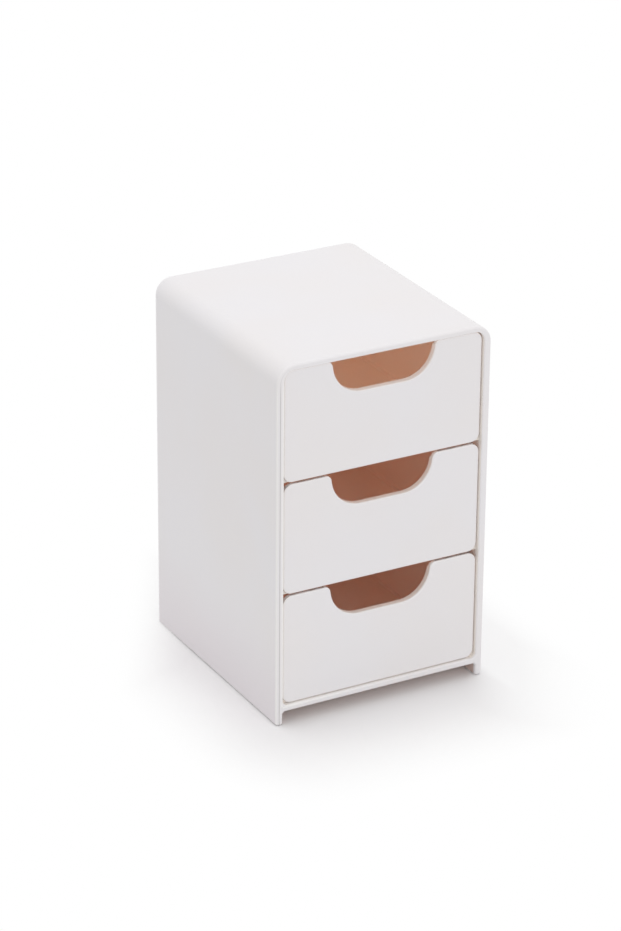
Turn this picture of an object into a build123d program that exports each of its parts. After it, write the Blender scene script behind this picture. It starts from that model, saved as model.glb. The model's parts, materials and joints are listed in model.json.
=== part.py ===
# Desktop storage box: a one-piece moulded casing on two skids, with three pull-out drawers.
# Millimetres. X runs across the front, Y from front to back, Z up from the desk.
# The origin is on the desk, under the middle of the casing.
import os
from math import cos, radians, sin, sqrt

from build123d import *

os.makedirs("parts", exist_ok=True)

# Casing
width = 80.0
depth = 90.0
height = 130.0
side_wall = 2.5
top_wall = 2.0
back_wall = 2.0
base_thickness = 2.2
skid_height = 4.8
top_corner_radius = 6.2
back_edge_radius = 3.8
front_edge_radius = 0.85
opening_corner_radius = 3.6
opening_foot_radius = 2.0
opening_edge_bevel = 0.3
bay_back_bevel = 1.5
skid_tip_bevel = 0.6
skid_root_bevel = 0.7

# Runner ledges inside the casing
ledge_width = 4.0
ledge_lead_radius = 1.5
ledge_edge_radius = 0.5

# Drawers, from the lowest to the highest
drawer_names = ["drawer_bottom", "drawer_middle", "drawer_top"]
panel_thickness = 1.5
panel_edge_radius = 0.55
tray_wall = 1.5
tray_front_wall = 0.6   # stands proud of the panel's back
tray_floor = 1.6
tray_corner_radius = 4.5
tray_floor_bevel = 0.8
tray_foot_bevel = 1.0
tray_rim_bevel = 0.4
draft_angle = 1.0

# Finger notch in each front
notch_width = 37.8      # where its bends end and its sides begin
notch_depth = 12.2
notch_radius = 11.0
notch_lean = 10.0       # degrees that its sides lean outwards
notch_lip_radius = 2.0

# Clearances
panel_recess = 1.0      # fronts lie this far behind the casing's front edge
panel_side_gap = 0.5    # front to the casing's side wall
panel_top_gap = 0.3     # highest front to the casing's top wall
panel_foot_gap = 0.3    # lowest front to the base plate
panel_pitch_gap = 0.8   # between two fronts
tray_side_gap = 1.0     # tray wall to the casing's side wall
tray_corner_gap = 0.5   # tray rim to the casing's rounded top corner
tray_back_gap = 1.0     # tray to the casing's back wall
tray_step = 1.5         # tray floor above the lower edge of its front

# Helpers: how far a cut runs past what it removes, and what counts as the same place
overcut = 1.0
same_place = 0.001

# Casing, worked out
front_y = -depth / 2
back_y = depth / 2
opening_half = width / 2 - side_wall
opening_width = 2 * opening_half
opening_foot = skid_height + base_thickness
opening_top = height - top_wall
opening_height = opening_top - opening_foot
bay_back = back_y - back_wall

# Fronts, worked out
drawer_count = len(drawer_names)
panel_front = front_y + panel_recess
panel_back = panel_front + panel_thickness
panel_width = opening_width - 2 * panel_side_gap
panel_corner_radius = opening_corner_radius - panel_side_gap
all_gaps = panel_top_gap + panel_foot_gap + (drawer_count - 1) * panel_pitch_gap
panel_height = (opening_height - all_gaps) / drawer_count
pitch = panel_height + panel_pitch_gap
panel_feet = [opening_foot + panel_foot_gap + i * pitch for i in range(drawer_count)]

# Runner ledges, worked out: the trays lie on them, and the fronts stop against their ends
ledge_inner = opening_half - ledge_width
ledge_thickness = tray_step + panel_foot_gap
ledge_tops = [foot + tray_step for foot in panel_feet]
ledge_feet = [top - ledge_thickness for top in ledge_tops]
ledge_feet[0] -= base_thickness / 2
ledge_root = bay_back + back_wall / 2

# Trays, worked out: the rim stays under the casing's rounded top corner
corner_reach = opening_corner_radius - tray_corner_gap
corner_side = max(opening_corner_radius - tray_side_gap, 0)
rim_drop = opening_corner_radius - sqrt(max(corner_reach**2 - corner_side**2, 0))
tray_half = opening_half - tray_side_gap
tray_back = bay_back - tray_back_gap
tray_height = panel_height + panel_top_gap - rim_drop - tray_step
tray_front = panel_front + panel_thickness / 2
pocket_half = tray_half - tray_wall
pocket_front = panel_back + tray_front_wall
pocket_back = tray_back - tray_wall
pocket_depth = tray_height - tray_floor

# Notch, worked out: its depth limits how round the bends and the lips can be
notch_cut = panel_thickness + tray_front_wall + overcut
notch_bend = min(notch_radius, 0.92 * notch_depth)
notch_lip = min(notch_lip_radius, 0.17 * notch_depth)
lean_across = sin(radians(notch_lean))
lean_up = cos(radians(notch_lean))
notch_flat_half = notch_width / 2 - notch_bend * lean_up
notch_side = (notch_depth - (notch_bend + notch_lip) * (1 - lean_across)) / lean_up


def at(features, axis, place):
    """The edges or faces whose middle lies at this place along the axis."""
    return features.filter_by_position(axis, place - same_place, place + same_place)


def tall(edge):
    """Whether an edge runs up most of a tray, as the corners between its walls do."""
    return edge.bounding_box().size.Z > tray_height / 2


# Casing: the front outline, run back to the rear wall
front_plane = Plane.XZ.offset(-front_y)

with BuildPart() as casing:
    with BuildSketch(front_plane) as outline:
        with Locations((0, height / 2)):
            Rectangle(width, height)
        fillet(outline.vertices().group_by(Axis.Y)[-1], radius=top_corner_radius)
    extrude(amount=-depth)

    # The rear edges are rounded up both sides and across the top
    rear = casing.faces().sort_by(Axis.Y)[-1]
    fillet(rear.edges().filter_by(lambda e: e.center().Z > 0), radius=back_edge_radius)

    # The side walls run on below the base plate as two skids
    with BuildSketch(front_plane) as underside:
        with Locations((0, skid_height / 2)):
            Rectangle(opening_width, skid_height)
        chamfer(underside.vertices().group_by(Axis.Y)[-1], length=skid_root_bevel)
    extrude(amount=-depth, mode=Mode.SUBTRACT)

    # Drawer bay, closed at the back
    with BuildSketch(front_plane) as bay:
        with Locations((0, opening_foot + opening_height / 2)):
            Rectangle(opening_width, opening_height)
        fillet(bay.vertices().group_by(Axis.Y)[-1], radius=opening_corner_radius)
        fillet(bay.vertices().group_by(Axis.Y)[0], radius=opening_foot_radius)
    extrude(amount=front_y - bay_back, mode=Mode.SUBTRACT)
    chamfer(at(casing.edges(), Axis.Y, bay_back), length=bay_back_bevel)

    # Skid tips, then the soft front edge outside and a small bevel round the opening
    skid_edges = at(casing.edges(), Axis.Z, 0).filter_by(Axis.Y)
    chamfer(skid_edges, length=min(skid_tip_bevel, 0.3 * side_wall))
    front_face = casing.faces().sort_by(Axis.Y)[0]
    fillet(front_face.outer_wire().edges(), radius=min(front_edge_radius, 0.35 * side_wall))
    front_face = casing.faces().sort_by(Axis.Y)[0]
    chamfer(front_face.inner_wires()[0].edges(), length=opening_edge_bevel)

    # Runner ledges, rooted in the side and rear walls, the lowest pair also in the base plate
    with BuildSketch(Plane.XZ.offset(-panel_back)) as ledge_ends:
        for ledge_foot, ledge_top in zip(ledge_feet, ledge_tops):
            with Locations((0, (ledge_foot + ledge_top) / 2)):
                Rectangle(opening_width + side_wall, ledge_top - ledge_foot)
        with Locations((0, opening_foot + opening_height / 2)):
            Rectangle(2 * ledge_inner, opening_height + base_thickness, mode=Mode.SUBTRACT)
        inner_corners = ledge_ends.vertices().filter_by(lambda v: abs(v.X) < opening_half)
        fillet(inner_corners, radius=ledge_edge_radius)
    extrude(amount=panel_back - ledge_root)

    # Each ledge starts with a quarter round that leads the tray in
    lead_x = ledge_inner + ledge_lead_radius
    lead_y = panel_back + ledge_lead_radius
    with BuildSketch(Plane.XY.offset(opening_foot)) as lead_in:
        with BuildLine():
            lead = CenterArc((lead_x, lead_y), ledge_lead_radius, 180, 90)
            Polyline(
                lead @ 0,
                (ledge_inner - overcut, lead_y),
                (ledge_inner - overcut, panel_back - overcut),
                (lead_x, panel_back - overcut),
                lead @ 1,
            )
        make_face()
        mirror(about=Plane.YZ)
    extrude(amount=ledge_tops[-1] - opening_foot, mode=Mode.SUBTRACT)
casing.part.label = "casing"
export_step(casing.part, "parts/casing.step")


# Drawers: a notched front and a tray in one moulding, three times over
for drawer_name, panel_foot in zip(drawer_names, panel_feet):
    panel_top = panel_foot + panel_height
    tray_foot = panel_foot + tray_step
    tray_top = tray_foot + tray_height
    notch_foot = panel_top - notch_depth

    with BuildPart() as drawer:
        # Front panel with rounded corners
        with BuildSketch(Plane.XZ.offset(-panel_front)) as panel:
            with Locations((0, panel_foot + panel_height / 2)):
                RectangleRounded(panel_width, panel_height, panel_corner_radius)
        extrude(amount=-panel_thickness)

        # Tray block, rooted halfway into the panel, its two sides and rear drawn in towards the foot
        rim_plane = Plane.XY.offset(tray_top)
        with BuildSketch(rim_plane) as tray_plan:
            with Locations((0, (tray_front + tray_back) / 2)):
                Rectangle(2 * tray_half, tray_back - tray_front)
        extrude(amount=-tray_height)
        tray_walls = drawer.faces(Select.LAST).filter_by(Axis.Z, reverse=True).sort_by(Axis.Y)[-3:]
        draft(tray_walls, neutral_plane=rim_plane, angle=-draft_angle)

        # Pocket, its four walls drawn in alike
        with BuildSketch(rim_plane) as pocket_plan:
            with Locations((0, (pocket_front + pocket_back) / 2)):
                Rectangle(2 * pocket_half, pocket_back - pocket_front)
        extrude(amount=-pocket_depth, mode=Mode.SUBTRACT)
        pocket_walls = drawer.faces(Select.LAST).filter_by(Axis.Z, reverse=True)
        draft(pocket_walls, neutral_plane=rim_plane, angle=draft_angle)

        # Upright corners: the four of the pocket, then the two behind, one wall thickness round them
        fillet(drawer.edges(Select.LAST).filter_by(tall), radius=tray_corner_radius - tray_wall)
        fillet(drawer.edges().filter_by(tall).sort_by(Axis.Y)[-2:], radius=tray_corner_radius)

        # Bevels: round the pocket floor, the tray rim and the foot, but not along the panel
        pocket_floor = at(drawer.faces(), Axis.Z, tray_foot + tray_floor).filter_by(Axis.Z)[0]
        chamfer(pocket_floor.edges(), length=tray_floor_bevel)
        rim_edges = at(drawer.edges(), Axis.Z, tray_top).sort_by(Axis.Y)[1:]
        chamfer(rim_edges, length=tray_rim_bevel)
        foot_edges = at(drawer.edges(), Axis.Z, tray_foot).sort_by(Axis.Y)[1:]
        chamfer(foot_edges, length=tray_foot_bevel)

        # Finger notch with rounded lips, cut through the panel
        with BuildSketch(Plane.XZ.offset(-panel_front)) as notch:
            with BuildLine():
                flat = Line((0, notch_foot), (notch_flat_half, notch_foot))
                bend = JernArc(flat @ 1, flat % 1, notch_bend, 90 - notch_lean)
                side = Line(bend @ 1, bend @ 1 + (bend % 1) * notch_side)
                lip = JernArc(side @ 1, side % 1, notch_lip, notch_lean - 90)
                lip_end = lip @ 1
                Polyline(lip_end, (lip_end.X, panel_top + overcut), (0, panel_top + overcut))
                mirror(about=Plane.YZ)
            make_face()
        extrude(amount=-notch_cut, mode=Mode.SUBTRACT)

        # The whole front edge is rounded, round the panel and through the notch
        front_face = drawer.faces().sort_by(Axis.Y)[0]
        fillet(front_face.edges(), radius=panel_edge_radius)
    drawer.part.label = drawer_name
    export_step(drawer.part, f"parts/{drawer_name}.step")
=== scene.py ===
# %% [markdown]
# # A white desktop storage box
#
# The object is a small box for a desk: one moulded casing that stands on two skids, and three
# drawers with a U-shaped finger notch in each front. It is 80 mm wide, 90 mm deep and 130 mm high.
#
# They are already right down to the rounded edges, so this lesson is about everything else that
# makes a white box look real: where the camera stands, how a white studio is lit, and what white
# moulded plastic does with light on the outside, on the inside and in the gaps.

import json
import math

import bpy
from mathutils import Matrix, Vector


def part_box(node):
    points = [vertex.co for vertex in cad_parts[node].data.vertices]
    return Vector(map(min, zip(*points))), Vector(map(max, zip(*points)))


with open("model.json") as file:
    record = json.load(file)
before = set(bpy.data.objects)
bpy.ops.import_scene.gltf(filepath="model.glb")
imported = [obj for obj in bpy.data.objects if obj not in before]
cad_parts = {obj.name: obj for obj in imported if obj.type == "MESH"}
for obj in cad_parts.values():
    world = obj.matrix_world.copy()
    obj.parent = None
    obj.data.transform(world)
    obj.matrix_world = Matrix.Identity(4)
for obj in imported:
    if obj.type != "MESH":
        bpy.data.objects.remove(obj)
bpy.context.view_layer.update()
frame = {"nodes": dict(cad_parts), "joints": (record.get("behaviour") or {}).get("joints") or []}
scene = bpy.context.scene
MM = 0.001

for node_name, node in sorted(frame["nodes"].items()):
    low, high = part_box(node_name)
    size = [round((h - l) / MM, 1) for l, h in zip(low, high)]
    print(f"{node_name}: {len(node.data.polygons)} faces, {size} mm")
for joint in frame["joints"]:
    print(f"{joint['name']} slides {joint['range_m'][1] / MM:.0f} mm")

# %% [markdown]
# ## Start from an empty stage
#
# A factory-fresh Blender file holds a cube, a lamp and a camera. They could be hidden or reused,
# but a lesson reads better when everything in the picture was put there on purpose, so they go.

# %% Clear the factory scene
for factory_name in ("Cube", "Light", "Camera"):
    factory_object = bpy.data.objects.get(factory_name)
    if factory_object is not None:
        bpy.data.objects.remove(factory_object)

# %% [markdown]
# ## The camera
#
# A camera can be placed by eye, or worked out. Here the outline of the box and the lines between
# the drawers were measured in the photograph, and a camera was fitted to them and to the size of
# the box: it looks down from the front left. What the fit gives is an angle round the box, an
# angle above the desk, a distance, a focal length in pixels of the 621 x 931 picture, and where
# the line of sight meets the picture. Blender wants a lens in millimetres for a 36 mm sensor, so
# pixels are turned into millimetres with the longer side of the picture.

# %% Write down what the fit gave
PICTURE_WIDTH, PICTURE_HEIGHT = 621, 931
SENSOR = 36.0
AZIMUTH = math.radians(-29.1694)
ELEVATION = math.radians(24.6143)
ROLL = math.radians(0.5402)
DISTANCE = 1222.81 * MM
FOCAL_PIXELS = 3584.34
SIGHT_X, SIGHT_Y = 317.66, 476.95
LOOKED_AT = Vector((0, 0, 65 * MM))
print(f"{FOCAL_PIXELS} pixels of focal length, {DISTANCE:.2f} m away")

# %% Work out the camera's own directions
backwards = Vector((
    math.sin(AZIMUTH) * math.cos(ELEVATION),
    -math.cos(AZIMUTH) * math.cos(ELEVATION),
    math.sin(ELEVATION),
))
level_right = Vector((math.cos(AZIMUTH), math.sin(AZIMUTH), 0))
level_up = backwards.cross(level_right)
right = level_right * math.cos(ROLL) + level_up * math.sin(ROLL)
up = level_up * math.cos(ROLL) - level_right * math.sin(ROLL)
turned = Matrix((right, up, backwards)).transposed().to_4x4()
print("from the box to the camera:", [round(part, 3) for part in backwards])

# %% Place the camera
photo_camera = bpy.data.objects.new("photo_camera", bpy.data.cameras.new("photo_camera"))
scene.collection.objects.link(photo_camera)
photo_camera.matrix_world = Matrix.Translation(LOOKED_AT + backwards * DISTANCE) @ turned
photo_camera.data.sensor_width = SENSOR
photo_camera.data.lens = FOCAL_PIXELS * SENSOR / PICTURE_HEIGHT
photo_camera.data.shift_x = (PICTURE_WIDTH / 2 - SIGHT_X) / PICTURE_HEIGHT
photo_camera.data.shift_y = (SIGHT_Y - PICTURE_HEIGHT / 2) / PICTURE_HEIGHT
scene.camera = photo_camera
print(f"lens {photo_camera.data.lens:.1f} mm")

# %% [markdown]
# ## Shader maths in Python
#
# A material is a net of nodes. It could be wired node by node, but then a simple sum takes five
# lines and nobody can read it. Here a socket is wrapped in a small class that knows how to add,
# subtract, multiply and divide, so that `1 - mask` in Python puts a Math node in the material.
# Every other kind of node comes from one method that takes the node's type, its settings, and what
# goes into its sockets.

# %% A socket that can be used in sums
SHARP = 0.2 * MM


class Signal:
    """An output socket of a node, which takes part in Python sums."""

    def __init__(self, net, socket):
        self.net = net
        self.socket = socket

    def maths(self, operation, *terms):
        return self.net.node("ShaderNodeMath", {"operation": operation}, dict(enumerate(terms)))

    def __add__(self, other):
        return self.maths("ADD", self, other)

    def __sub__(self, other):
        return self.maths("SUBTRACT", self, other)

    def __rsub__(self, other):
        return self.maths("SUBTRACT", other, self)

    def __mul__(self, other):
        return self.maths("MULTIPLY", self, other)

    def __truediv__(self, other):
        return self.maths("DIVIDE", self, other)

    __radd__ = __add__
    __rmul__ = __mul__

    def size(self):
        """The value without its sign."""
        return self.maths("ABSOLUTE", self)

    def above(self, other):
        """The larger of the two."""
        return self.maths("MAXIMUM", self, other)

    def joined(self, other):
        """The length of the slanting side of a square corner with these two sides."""
        return self.maths("SQRT", self * self + other * other)

    def rises(self, start, end):
        """0 below start and 1 above end, with a soft ramp between them."""
        sockets = {"Value": self, "From Min": start, "From Max": end}
        return self.net.node("ShaderNodeMapRange", {"interpolation_type": "SMOOTHSTEP"}, sockets)

    def falls(self, start, end):
        """1 below start and 0 above end."""
        return 1 - self.rises(start, end)

    def past(self, edge):
        """1 past the edge and 0 before it, with a ramp too narrow to be noticed."""
        return self.rises(edge - SHARP / 2, edge + SHARP / 2)

    def short_of(self, edge):
        """1 before the edge and 0 past it, with the same narrow ramp."""
        return self.falls(edge - SHARP / 2, edge + SHARP / 2)

    def between(self, start, end):
        """1 from start to end and 0 elsewhere."""
        return self.past(start) * self.short_of(end)


# %% A net of nodes
# A Mix node has a set of sockets for each kind of value, and these are the ones for colours.
MIX_MASK, MIX_BELOW, MIX_ABOVE, MIX_OUT = 0, 6, 7, 2


class Net:
    """The nodes of a material or of the world, with one way to add to them."""

    def __init__(self, owner, output_kind):
        owner.use_nodes = True
        self.owner = owner
        self.tree = owner.node_tree
        self.tree.nodes.clear()
        self.output = self.tree.nodes.new(output_kind)

    def node(self, kind, settings=None, sockets=None, out=0):
        new = self.tree.nodes.new(kind)
        for setting, value in (settings or {}).items():
            setattr(new, setting, value)
        for key, value in (sockets or {}).items():
            if isinstance(value, Signal):
                self.tree.links.new(value.socket, new.inputs[key])
            else:
                new.inputs[key].default_value = value
        return Signal(self, new.outputs[out])

    def noise(self, vector, scale, detail):
        """A cloudy pattern with values round a half, which is finer where the scale is larger."""
        sockets = {"Vector": vector, "Scale": scale, "Detail": detail}
        return self.node("ShaderNodeTexNoise", sockets=sockets)

    def blend(self, mask, below, above):
        """The colour below where the mask is 0, and the colour above where it is 1."""
        sockets = {MIX_MASK: mask, MIX_BELOW: below, MIX_ABOVE: above}
        return self.node("ShaderNodeMix", {"data_type": "RGBA"}, sockets, MIX_OUT)

    def either(self, mask, first, second):
        """The first shader where the mask is 0, and the second where it is 1."""
        return self.node("ShaderNodeMixShader", sockets={0: mask, 1: first, 2: second})

    def watched(self):
        """1 for what the camera, a reflection or clear plastic shows, and 0 for bouncing light."""
        seen, mirrored, seen_through = (
            self.node("ShaderNodeLightPath", out=name)
            for name in ("Is Camera Ray", "Is Glossy Ray", "Is Transmission Ray"))
        return seen.above(mirrored).above(seen_through)

    def show(self, shader):
        self.tree.links.new(shader.socket, self.output.inputs["Surface"])
        print(f"{self.owner.name}: {len(self.tree.nodes)} nodes")
        return self.owner


def material_net(name):
    return Net(bpy.data.materials.new(name), "ShaderNodeOutputMaterial")


# %% [markdown]
# ## A white studio
#
# Products like this are photographed on white card that curves up behind them, under big soft
# lamps. The card could be modelled, but a white floor that fades into a white world gives the same
# picture from every side. Two things matter. The light on the box stays plain, so that a colour
# looks as it is written. And the white behind the box is white for the camera only: the world
# shows full white to the camera and in reflections, while the light that it sends is softer.

# %% Light from all round
PURE_WHITE = (1, 1, 1, 1)
WORLD_LIGHT, FULL_WHITE = 0.72, 1.0

studio = Net(bpy.data.worlds.new("white_studio"), "ShaderNodeOutputWorld")
soft_light, plain_white = (
    studio.node("ShaderNodeBackground", sockets={"Color": PURE_WHITE, "Strength": strength})
    for strength in (WORLD_LIGHT, FULL_WHITE))
scene.world = studio.show(studio.either(studio.watched(), soft_light, plain_white))


# %% Two soft lamps
def softbox(name, place, width, power):
    """A square lamp that faces the box."""
    lamp = bpy.data.objects.new(name, bpy.data.lights.new(name, "AREA"))
    scene.collection.objects.link(lamp)
    lamp.location = place
    lamp.rotation_euler = (LOOKED_AT - Vector(place)).to_track_quat("-Z", "Y").to_euler()
    lamp.data.size = width
    lamp.data.energy = power
    print(f"{name}: {power} W over {width} m")


softbox("top_softbox", place=(-0.16, 0.3, 1.5), width=0.9, power=4.05)
softbox("front_softbox", place=(0.15, -1.5, 0.7), width=0.8, power=3.25)

# %% [markdown]
# ## The sizes of the box
#
# Both the floor's shadow and the plastic's finish follow the shape of the box. Its outer sizes are
# read from the frame, so that they are never out of step with it. Walls, roundings and notches
# can't be read from an outer box, and are written down here once.

# %% Read the outer sizes
casing_low, casing_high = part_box("casing")
HALF_WIDTH, HALF_DEPTH, HEIGHT = casing_high
CASING_FRONT = casing_low[1]
drawer_low, drawer_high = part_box("drawer_bottom")
PANEL_HALF, TRAY_END = drawer_high[0], drawer_high[1]
PANEL_FRONT = drawer_low[1]
PANEL_HEIGHT = drawer_high[2] - drawer_low[2]
print(f"front {CASING_FRONT / MM:.1f} mm, panels {-PANEL_FRONT / MM:.1f} mm before the middle")

# %% Write down what a box can't tell
CORNER_ROUND, RIM_ROUND, PANEL_ROUND = 6.2 * MM, 0.85 * MM, 0.55 * MM
PANEL_THICKNESS = 1.5 * MM
PANEL_BACK = PANEL_FRONT + PANEL_THICKNESS
OPENING_HALF, OPENING_ROUND = 37.5 * MM, 3.6 * MM
OPENING_FOOT, OPENING_TOP = 7.0 * MM, 128.0 * MM
SKID_HEIGHT, HALF_WALL = 4.8 * MM, 1.0 * MM
BETWEEN_LEDGES, MOUTH_DEPTH = 33.4 * MM, 6.0 * MM
TRAY_WALL = 35.7 * MM
NOTCH_HALF, NOTCH_ABOVE = 21.4 * MM, 26.5 * MM
print(f"opening {2 * OPENING_HALF / MM:.0f} by {(OPENING_TOP - OPENING_FOOT) / MM:.0f} mm")

# %% [markdown]
# ## The floor
#
# The floor has to be white in the picture and still carry the soft shadow of the box. A plain
# white surface alone comes out a little grey. So the floor is a matt white surface near the box,
# and glows with the plain white of the world further out, and it fades from one to the other,
# sooner at the sides than in front, where the shadow falls. It lies a hair below the skids,
# because two faces in one plane flicker where they meet.


# %% Say where a point of a surface is
class Place:
    """Across from the middle, along from front to back, and up, for each point of a surface."""

    def __init__(self, net):
        self.vector = net.node("ShaderNodeTexCoord", out="Object")
        self.across, self.along, self.height = (
            net.node("ShaderNodeSeparateXYZ", sockets={0: self.vector}, out=axis)
            for axis in range(3))


# %% Lay the floor
FLOOR_SIZE = 8.0
BELOW_SKIDS = 0.02 * MM

bpy.ops.mesh.primitive_plane_add(size=FLOOR_SIZE, location=(0, 0, -BELOW_SKIDS))
floor = bpy.context.object
floor.name = "studio_floor"
card = material_net("white_card")
print(f"{floor.name}: {FLOOR_SIZE} m wide, {BELOW_SKIDS / MM} mm below the skids")

# %% Fade it with the distance from the box
FADE_FROM, FADE_TO = 3 * MM, 58 * MM
SIDES_SOONER = 1.5

on_card = Place(card)
beside = (on_card.across.size() - HALF_WIDTH).above(0) * SIDES_SOONER
before = (on_card.along.size() - HALF_DEPTH).above(0)
print(f"the card fades from {FADE_FROM / MM:.0f} to {FADE_TO / MM:.0f} mm before the box")

# %% [markdown]
# The shadow also leans to the front left, away from a light at the back right. Turned lamps would
# show that too, but they would change the tones of the three faces. So the card fades on both
# sides of a strip that leans as the shadow does, and is half faded right beside the lit sides.

# %% Let the shadow lean
HALF_FADED = 0.62
LIT_FROM, LIT_TO = -2 * MM, 5 * MM
LEAN = math.radians(30.7)
RIGHT_FROM, RIGHT_REACH = 52 * MM, 50 * MM
LEFT_FROM, LEFT_TO = 42 * MM, 68 * MM

at_right = on_card.across.rises(HALF_WIDTH + LIT_FROM, HALF_WIDTH + LIT_TO)
behind = on_card.along.rises(HALF_DEPTH + LIT_FROM, HALF_DEPTH + LIT_TO)
lit_sides = at_right.above(behind) * HALF_FADED
sideways = on_card.across * math.cos(LEAN) - on_card.along * math.sin(LEAN)
still_shaded = (1 - ((sideways - RIGHT_FROM) / RIGHT_REACH).above(0)).above(0)
past_right = 1 - still_shaded * still_shaded
past_shadow = past_right.above(sideways.falls(-LEFT_TO, -LEFT_FROM))
faded = beside.joined(before).rises(FADE_FROM, FADE_TO).above(lit_sides).above(past_shadow)
print(f"the shadow leans {math.degrees(LEAN):.0f} degrees to the left")

# %% [markdown]
# The glow could light the box as well, and then every side would be paler low down. So only the
# camera and reflections see it: for the light that bounces back to the box, the floor is matt
# card everywhere.

# %% Card near the box, and glow further out
CARD_WHITE = (0.8, 0.8, 0.8, 1)
SHADED_WHITE = (0.97, 0.96, 0.965, 1)

near = card.node("ShaderNodeBsdfDiffuse", sockets={"Color": SHADED_WHITE})
glow = card.node("ShaderNodeEmission", sockets={"Color": PURE_WHITE, "Strength": FULL_WHITE})
bouncing = card.node("ShaderNodeBsdfDiffuse", sockets={"Color": CARD_WHITE})
watched = card.watched()
near_or_far = card.either(faded, near, glow)
floor.data.materials.append(card.show(card.either(watched, bouncing, near_or_far)))

# %% [markdown]
# ## White plastic
#
# Moulded white plastic is not one flat white. Outside it has a satin skin: the steel of the mould
# is finely etched, so the gloss is soft and breaks up in a very fine grain, and the tone drifts a
# little where the plastic flowed. Inside, the walls are dull, and the white is a touch creamier;
# here the cream is made stronger than that, so that it also paints the warm light that comes
# through the thin walls, and it is lighter in the top drawer than in the lower ones, as painted
# light. That cream matters more than it seems. Light that gets in through a finger notch bounces
# from wall to wall dozens of times before it finds the way out, and takes on the tint at each
# bounce: a white box looks brown inside when it is shut, and white again when a drawer is pulled
# out. Painting the inside brown would be quicker, but then an open drawer would be brown too. So
# the inside gets a pale cream, and the renderer gets enough bounces to follow the light.

# %% Let light bounce long enough
BOUNCES = 96
scene.cycles.max_bounces = BOUNCES
scene.cycles.diffuse_bounces = BOUNCES
print(f"{BOUNCES} bounces")

# %% Colours, as shares of red, green and blue that come back
OUTSIDE = (0.906, 0.885, 0.902, 1)
WARM_DRIFT = (0.907, 0.877, 0.881, 1)
# Painted shade, darker and pinker low on the sides.
LOW_SIDE_SHADE = (0.873, 0.825, 0.850, 1)
# A painted highlight on the roundings of the edges.
EDGE_HIGHLIGHT = (0.985, 0.965, 0.955, 1)
# A fine grey line just inside the rounding of the rim, most on the left.
RIM_LINE_GREY = (0.64, 0.62, 0.62, 1)
# Painted shade in the gaps round the fronts and in their corners.
GAP_SHADE = (0.56, 0.52, 0.505, 1)
# Painted shade under the base and on the inner faces of the skids, darker and warmer.
UNDERSIDE_SHADE = (0.725, 0.590, 0.540, 1)
# Painted contact shade where the skids stand on the desk.
CONTACT_SHADE = (0.66, 0.64, 0.635, 1)
# The creams of the insides are stronger than the plastic's own, and also paint the warm light that
# comes through the thin walls; they are lightest in the top drawer and darkest in the bottom one,
# as painted light.
CREAM_AND_WARM_LIGHT = {
    "casing": (0.985, 0.945, 0.900, 1),
    "drawer_bottom": (0.960, 0.876, 0.813, 1),
    "drawer_middle": (0.970, 0.890, 0.823, 1),
    "drawer_top": (0.994, 0.961, 0.927, 1),
}
print(f"{len(CREAM_AND_WARM_LIGHT)} creams for the insides")

# %% [markdown]
# ## Where the inside begins
#
# One moulding has several kinds of surface, and each is a mask: a number that is 1 where that kind
# of surface is and 0 elsewhere. A mask is made from the place on the object. A ramp that rises or
# falls along one direction is a soft cut across the object, and ramps multiplied together are a
# room with soft walls. Most ramps sit in the middle of the plastic's thickness, where no face
# shows the change from one kind of surface to another, and the others sit on a rounding.


# %% The inside of the casing and of a drawer
def bay_walls(at):
    """1 on the casing's walls round the drawers and in its mouth, and 0 outside."""
    between_ledges = at.across.size().short_of(BETWEEN_LEDGES)
    up_and_down = at.height.between(SKID_HEIGHT + HALF_WALL, HEIGHT - HALF_WALL)
    behind_rim = at.along.rises(CASING_FRONT + RIM_ROUND, CASING_FRONT + 2 * RIM_ROUND)
    before_back = at.along.short_of(HALF_DEPTH - HALF_WALL)
    between_sides = at.across.size().short_of(OPENING_HALF + SHARP)
    in_opening = at.height.between(OPENING_FOOT, OPENING_TOP) * between_sides
    mouth_front, mouth_end = CASING_FRONT + RIM_ROUND / 2, CASING_FRONT + MOUTH_DEPTH
    in_mouth = at.along.between(mouth_front, mouth_end) * in_opening
    return (between_ledges * up_and_down * behind_rim * before_back).above(in_mouth)


def behind_edge(at):
    """1 behind the rounded edge of a drawer's front, and 0 on the front."""
    return at.along.past(PANEL_FRONT + PANEL_ROUND)


def pocket_walls(at, foot):
    """1 in the drawer's pocket and on the wall of its notch, and 0 on the rest of the drawer."""
    from_end_to_end = at.along.between(PANEL_BACK, TRAY_END - HALF_WALL)
    pocket = from_end_to_end * at.across.size().short_of(TRAY_WALL)
    behind_front = behind_edge(at)
    # The notch's wall takes the inside's cream too, which paints it lighter and warmer than the
    # front.
    in_notch = at.across.size().short_of(NOTCH_HALF)
    above_foot = at.height.past(foot + NOTCH_ABOVE)
    return pocket.above(behind_front * in_notch * above_foot)


# %% [markdown]
# ## Edges and corners
#
# Much of what makes the box look real is at its edges, and most of it is painted light and shade.
# The roundings of the rim, of the fronts and of their notches are painted paler, as a highlight,
# on the rim most on the left. A fine grey line runs just inside the rounding of the rim, most on
# the left. Painted shade darkens the gaps above and below a front and its corners, in patches, and
# the sides low down. The hollow under the base is painted a darker, warmer shade, and where the
# skids stand on the desk there is a painted contact shade.
# Such marks could be painted on an image, but a line that follows an outline is easier to make
# from a distance: how far is this point from the edge of a rectangle with rounded corners?


# %% How far a point is from a rounded outline
def beyond(at, half_width, top, corner):
    """How far outside an outline with round upper corners a point is, or minus how far inside."""
    sideways = (at.across.size() - (half_width - corner)).above(0)
    upward = (at.height - (top - corner)).above(0)
    return sideways.joined(upward) - corner


def left_of_front(at):
    """1 on the left of the front, and fading to the right and the top."""
    to_the_left = at.across.falls(-HALF_WIDTH, HALF_WIDTH / 2)
    below_corner = at.height.falls(HEIGHT - 2 * CORNER_ROUND, HEIGHT)
    return to_the_left * below_corner


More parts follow.
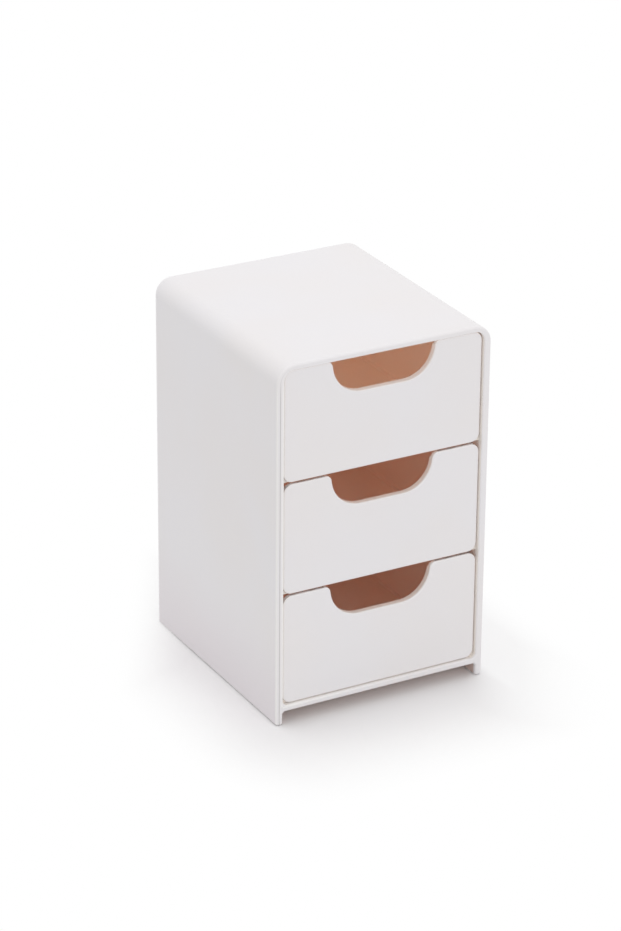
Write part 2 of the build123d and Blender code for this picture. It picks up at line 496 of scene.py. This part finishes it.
# %% Painted highlight and a grey line round the casing's rim
OPENING_BEVEL, HIGHLIGHT_WIDTH = 0.3 * MM, 0.35 * MM
RIM_LINE_AT, HALF_RIM_LINE = 1.05 * MM, 0.175 * MM


def highlit_rim(at):
    """1 on the outer rounding of the upright rim and on the inner edge of the opening, for a
    painted highlight.
    """
    outer_rounding = at.along.between(CASING_FRONT + SHARP, CASING_FRONT + RIM_ROUND)
    beyond_opening = beyond(at, OPENING_HALF, OPENING_TOP, OPENING_ROUND)
    inner_edge = beyond_opening.between(OPENING_BEVEL / 2, OPENING_BEVEL + HIGHLIGHT_WIDTH)
    base_edge = at.height.between(OPENING_FOOT - OPENING_BEVEL - HIGHLIGHT_WIDTH, OPENING_FOOT)
    above_base = at.height.rises(OPENING_FOOT - SHARP, OPENING_FOOT)
    on_front = at.along.falls(CASING_FRONT + OPENING_BEVEL, CASING_FRONT + OPENING_BEVEL + SHARP)
    inside_rim = beyond_opening.falls(0, SHARP)
    opening_edge = (inner_edge * above_base).above(base_edge * inside_rim) * on_front
    return outer_rounding.above(opening_edge) * left_of_front(at)


def grey_rim_line(at):
    """1 on the fine line just inside the rounding of the rim."""
    inside_outline = beyond(at, HALF_WIDTH, HEIGHT, CORNER_ROUND) * -1
    line = inside_outline.between(RIM_LINE_AT - HALF_RIM_LINE, RIM_LINE_AT + HALF_RIM_LINE)
    on_front = at.along.falls(CASING_FRONT + SHARP / 2, CASING_FRONT + SHARP)
    return line * on_front * left_of_front(at)


# %% Painted shade low down on the casing
LOW_REACH = 38 * MM


def low_on_sides(at):
    """1 at the foot of the sides and fading upward, where the sides are painted darker as shade.
    """
    on_sides = at.across.size().rises(HALF_WIDTH - 2 * SHARP, HALF_WIDTH - SHARP)
    return on_sides * at.height.falls(0, LOW_REACH)


def hollow_under_base(at):
    """1 on the underside of the base and on the inner faces of the skids."""
    below_base = at.height.falls(SKID_HEIGHT, SKID_HEIGHT + SHARP)
    between_skids = at.across.size().falls(OPENING_HALF + SHARP, OPENING_HALF + 2 * SHARP)
    behind_front = at.along.rises(CASING_FRONT + RIM_ROUND, CASING_FRONT + 2 * RIM_ROUND)
    return below_base * between_skids * behind_front


def shaded_tips(at):
    """1 where the skids stand on the desk, for a painted contact shade."""
    return at.height.falls(2 * SHARP, 4 * SHARP)


# %% Painted highlight and painted shade on a drawer's front
CORNER_REACH = 2.8 * MM
PATCH_SCALE, PATCH_FROM, PATCH_TO = 320.0, 0.38, 0.58
THIN_SHADE = 0.45


def highlit_front(at):
    """1 on the rounding round the front and its notch, for a painted highlight."""
    return at.along.between(PANEL_FRONT + SHARP / 2, PANEL_FRONT + PANEL_ROUND)


def shaded_gap_edge(net, at, foot):
    """Up to 1 on the upper and lower edge of a front and in its corners, in patches: painted shade
    in the gaps.
    """
    half_height = PANEL_HEIGHT / 2
    before_tray = at.along.falls(PANEL_BACK, PANEL_BACK + SHARP)
    from_middle = (at.height - (foot + half_height)).size()
    at_the_ends = from_middle.rises(half_height - 2 * SHARP, half_height - SHARP / 2)
    behind_front = behind_edge(at)
    sideways = (at.across.size() - (PANEL_HALF - CORNER_REACH)).above(0)
    upward = (from_middle - (half_height - CORNER_REACH)).above(0)
    in_corner = (sideways * upward).rises(CORNER_REACH * SHARP, 3 * CORNER_REACH * SHARP)
    over_edge = at.along.rises(PANEL_FRONT + SHARP, PANEL_FRONT + 2 * SHARP)
    patches = net.noise(at.vector, PATCH_SCALE, detail=3.0).rises(PATCH_FROM, PATCH_TO)
    shade_share = THIN_SHADE + (1 - THIN_SHADE) * patches
    return shade_share * before_tray * (behind_front * at_the_ends).above(over_edge * in_corner)


# %% Marks on a drawer's tray
PIN_X, PIN_Y, PIN_RADIUS = 24 * MM, 28 * MM, 2.5 * MM
POCKET_FLOOR, POCKET_CENTRE = 4.5 * MM, -0.7 * MM
LONG_AND_NARROW = (1.0, 0.02, 1.0)
SCRATCH_SCALE, SCRATCH_FROM, SCRATCH_TO = 1800.0, 0.54, 0.66


def pin_rings(at, foot):
    """1 on the four rings that the ejector pins of the mould leave on the pocket's floor."""
    from_pin = (at.across.size() - PIN_X).joined((at.along - POCKET_CENTRE).size() - PIN_Y)
    ring = from_pin.between(PIN_RADIUS - SHARP / 2, PIN_RADIUS + SHARP / 2)
    return ring * at.height.falls(foot + POCKET_FLOOR, foot + POCKET_FLOOR + HALF_WALL)


def slide_streaks(net, at):
    """Fine scratches along the tray's outer walls, from sliding on the ledges."""
    sockets = {0: at.vector, 1: LONG_AND_NARROW}
    stretched = net.node("ShaderNodeVectorMath", {"operation": "MULTIPLY"}, sockets)
    scratches = net.noise(stretched, SCRATCH_SCALE, detail=3.0)
    behind_panel = at.along.rises(PANEL_BACK + PANEL_THICKNESS, PANEL_BACK + 3 * PANEL_THICKNESS)
    scratched = scratches.rises(SCRATCH_FROM, SCRATCH_TO)
    on_wall = at.across.size().rises(TRAY_WALL, TRAY_WALL + SHARP)
    return scratched * on_wall * behind_panel


# %% [markdown]
# ## The plastic itself
#
# One material per part keeps the export simple, so the masks are laid over each other in it: the
# drifting white of the outside first, then every mark in its colour, and the cream of the inside
# last. The gloss could come from the specular level, but the inside has none, and a specular level
# can't vary over a surface in an exported model. A coat can: it lies over a dull body, and is
# left out where the inside mask is 1. The etched grain is a bump of a few hundredths of a
# millimetre, and the roughness drifts with the skin.

# %% A satin skin over a dull body
FLOW_SCALE, FLOW_FROM, FLOW_TO = 22.0, 0.35, 0.65
SKIN_SCALE, SKIN_DRIFT = 90.0, 0.1
GRAIN_SCALE, GRAIN_HEIGHT = 2600.0, 0.02
RING_HEIGHT, STREAK_HEIGHT, STREAK_ROUGHNESS = 0.6, 0.015, 0.2
BUMP_STRENGTH, BUMP_DISTANCE = 0.12, 1.0 * MM
BODY_ROUGHNESS = 0.44
COAT, COAT_ROUGHNESS, COAT_IOR = 0.9, 0.34, 1.46


def satin_plastic(net, at, marks, inside, inside_tint, relief=0.0, streaks=0.0):
    """The plastic of one part. Its marks are pairs of a mask and a colour."""
    flow = net.noise(at.vector, FLOW_SCALE, detail=2.0)
    skin = net.noise(at.vector, SKIN_SCALE, detail=3.0)
    grain = net.noise(at.vector, GRAIN_SCALE, detail=2.0)

    colour = net.blend(flow.rises(FLOW_FROM, FLOW_TO), OUTSIDE, WARM_DRIFT)
    for mask, tint in marks + [(inside, inside_tint)]:
        colour = net.blend(mask, colour, tint)
    bump = net.node("ShaderNodeBump", sockets={
        "Strength": BUMP_STRENGTH,
        "Distance": BUMP_DISTANCE,
        "Height": grain * GRAIN_HEIGHT + relief,
    })
    return net.show(net.node("ShaderNodeBsdfPrincipled", sockets={
        "Base Color": colour,
        "Roughness": BODY_ROUGHNESS + SKIN_DRIFT * skin + STREAK_ROUGHNESS * streaks,
        "Normal": bump,
        "Specular IOR Level": 0.0,
        "Coat Weight": COAT * (1 - inside),
        "Coat Roughness": COAT_ROUGHNESS,
        "Coat IOR": COAT_IOR,
    }))


# %% One plastic for the casing and one for each drawer
def casing_plastic():
    net = material_net("casing_plastic")
    at = Place(net)
    marks = [
        (low_on_sides(at), LOW_SIDE_SHADE),
        (highlit_rim(at), EDGE_HIGHLIGHT),
        (grey_rim_line(at), RIM_LINE_GREY),
        (hollow_under_base(at), UNDERSIDE_SHADE),
        (shaded_tips(at), CONTACT_SHADE),
    ]
    return satin_plastic(net, at, marks, bay_walls(at), CREAM_AND_WARM_LIGHT["casing"])


def drawer_plastic(name):
    net = material_net(name + "_plastic")
    at = Place(net)
    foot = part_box(name)[0][2]
    marks = [(highlit_front(at), EDGE_HIGHLIGHT), (shaded_gap_edge(net, at, foot), GAP_SHADE)]
    streaks = slide_streaks(net, at)
    relief = pin_rings(at, foot) * RING_HEIGHT + streaks * STREAK_HEIGHT
    return satin_plastic(net, at, marks, pocket_walls(at, foot), CREAM_AND_WARM_LIGHT[name], relief, streaks)


# %% Dress the casing and the drawers
for node_name, node in frame["nodes"].items():
    plastic = casing_plastic() if node_name == "casing" else drawer_plastic(node_name)
    for slot in node.material_slots:
        slot.material = plastic

# %% [markdown]
# ## Plain colours
#
# The view keeps plain colours, without a film look.

# %% Keep plain colours
scene.view_settings.view_transform = "Standard"
